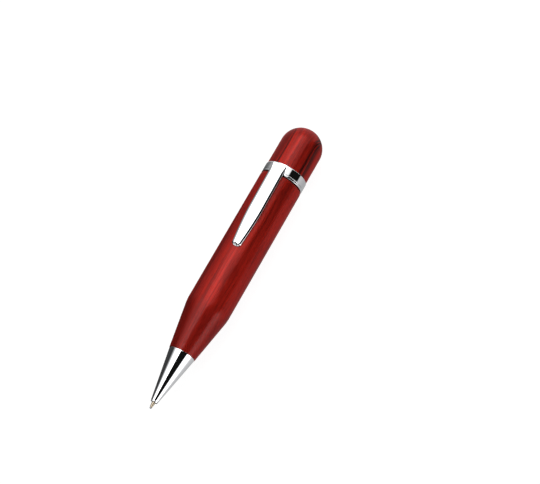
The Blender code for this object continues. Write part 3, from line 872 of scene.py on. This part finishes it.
def sky():
    """A studio round the pen: two long soft boxes beside a dark gap that follows the pen."""
    world = bpy.data.worlds.new("studio")
    bpy.context.scene.world = world
    world.use_nodes = True
    graph = Graph(world.node_tree)
    world.node_tree.nodes.clear()
    direction = graph.add("TexCoord")
    split = graph.add("SeparateXYZ", {0: direction}).node.outputs
    degrees = 180 / math.pi
    round_pen = graph.math("MULTIPLY", graph.math("ARCTAN2", split[1], split[2]), -degrees)
    turn = graph.math("WRAP", graph.math("SUBTRACT", round_pen, math.degrees(FACING)), 180, -180)
    tilt = graph.math("MULTIPLY", graph.math("ARCSINE", split[0]), degrees)

    # the gap's middle moves round as the direction tilts towards the cap
    lean = graph.math("POWER", graph.math("MAXIMUM", graph.math("ADD", tilt, 12.0), 0.0), 0.6)
    gap_middle = graph.math("MULTIPLY_ADD", lean, 6.1, -6.1)
    from_gap = graph.math("SUBTRACT", turn, gap_middle)
    gap_half = graph.blend(graph.step(tilt, 0.0, 16.0), 30.0, 31.0)
    into_gap = graph.math("SUBTRACT", graph.math("ABSOLUTE", from_gap), gap_half)
    gap = graph.step(into_gap, 0.0, -4.5)

    def spot(middle, width, strength):
        """A soft bright area of a box."""
        off = graph.math("DIVIDE", graph.math("SUBTRACT", turn, middle), width)
        fall = graph.math("EXPONENT", graph.math("MULTIPLY", graph.math("MULTIPLY", off, off), -1.0))
        return graph.math("MULTIPLY", fall, strength)

    # each box has one course of brightness for what tilts to the point and one for the cap's side
    low_left = graph.step(turn, -91.0, -58.0)
    high_left = graph.math("MULTIPLY", graph.step(turn, -150.0, -45.0), 0.8)
    far_left = graph.math("MULTIPLY", graph.step(tilt, 19.5, 22.3), 0.62)
    high_left = graph.math("MAXIMUM", high_left, far_left)
    left = graph.math("ADD", graph.blend(graph.step(tilt, 0.0, 15.0), low_left, high_left), 0.04)
    left = graph.math("ADD", left, spot(-30.0, 24.0, 2.05))
    low_right = graph.blend(graph.step(turn, 58.0, 105.0), 1.0, 0.56)
    low_right = graph.math("ADD", low_right, spot(61.0, 18.0, 1.8))
    high_right = graph.blend(graph.step(turn, 76.0, 120.0), 0.54, 0.42)
    right = graph.blend(graph.step(tilt, -4.0, 14.0), low_right, high_right)
    boxes = graph.blend(graph.step(from_gap, -4.0, 4.0), left, right)
    level = graph.blend(gap, boxes, 0.006)

    # dark in front of the point, pale again further down, and pale beyond the cap
    level = graph.blend(graph.step(tilt, -18.0, -32.0), level, 0.015)
    level = graph.blend(graph.step(tilt, -38.0, -52.0), level, 0.7)
    level = graph.blend(graph.step(tilt, 46.0, 60.0), level, 0.85)

    # the camera sees plain white, and matt surfaces get little of the sky's light
    path = graph.add("LightPath").node.outputs
    level = graph.blend(path["Is Diffuse Ray"], level, graph.math("MULTIPLY", level, 0.075))
    level = graph.blend(path["Is Camera Ray"], level, 1.0)
    background = graph.add("Background", {"Color": (1, 1, 1, 1), "Strength": level})
    graph.add("OutputWorld", {"Surface": background})


def sun():
    """One soft sun from the camera's left, which matt surfaces see and mirrors don't."""
    round_pen = math.radians(38.0) - FACING
    towards = Vector((0.1, math.sin(round_pen), math.cos(round_pen)))
    data = bpy.data.lights.new("key", "SUN")
    data.energy = 0.2
    data.angle = math.radians(28)
    obj = bpy.data.objects.new("key", data)
    obj.location = towards
    obj.rotation_mode = "QUATERNION"
    obj.rotation_quaternion = (-towards).to_track_quat("-Z", "Y")
    obj.visible_glossy = False
    bpy.context.scene.collection.objects.link(obj)


def camera():
    """The camera at the photograph's angle."""
    data = bpy.data.cameras.new("camera")
    data.lens = CAMERA_LENS
    data.sensor_width = 36.0
    data.clip_start = 0.01
    data.clip_end = 100.0
    obj = bpy.data.objects.new("camera", data)
    azimuth = math.radians(CAMERA_AZIMUTH)
    elevation = math.radians(CAMERA_ELEVATION)
    roll = math.radians(CAMERA_ROLL)
    forward = Vector(
        (
            -math.sin(azimuth) * math.cos(elevation),
            math.cos(azimuth) * math.cos(elevation),
            -math.sin(elevation),
        )
    )
    level = forward.cross(Vector((0, 0, 1))).normalized()
    upright = level.cross(forward)
    up = math.cos(roll) * upright + math.sin(roll) * level
    right = math.cos(roll) * level - math.sin(roll) * upright
    turned_to = Matrix((right, up, -forward)).transposed()
    obj.rotation_mode = "QUATERNION"
    obj.rotation_quaternion = turned_to.to_quaternion()
    obj.location = Vector(CAMERA_AT) * MM
    bpy.context.scene.collection.objects.link(obj)
    bpy.context.scene.camera = obj


dress_nodes()
wood_barrel()
cap_shell()
nose_cone()
clip_ring()
clip_arm()
clip_neck()
refill_point()
writing_ball()
usb_shell()
for number in range(1, 5):
    usb_contact(f"usb_contact_{number}")
cap_liner()
camera()
floor()
sky()
sun()
bpy.context.scene.view_settings.view_transform = "Standard"
bpy.context.scene.view_settings.look = "None"
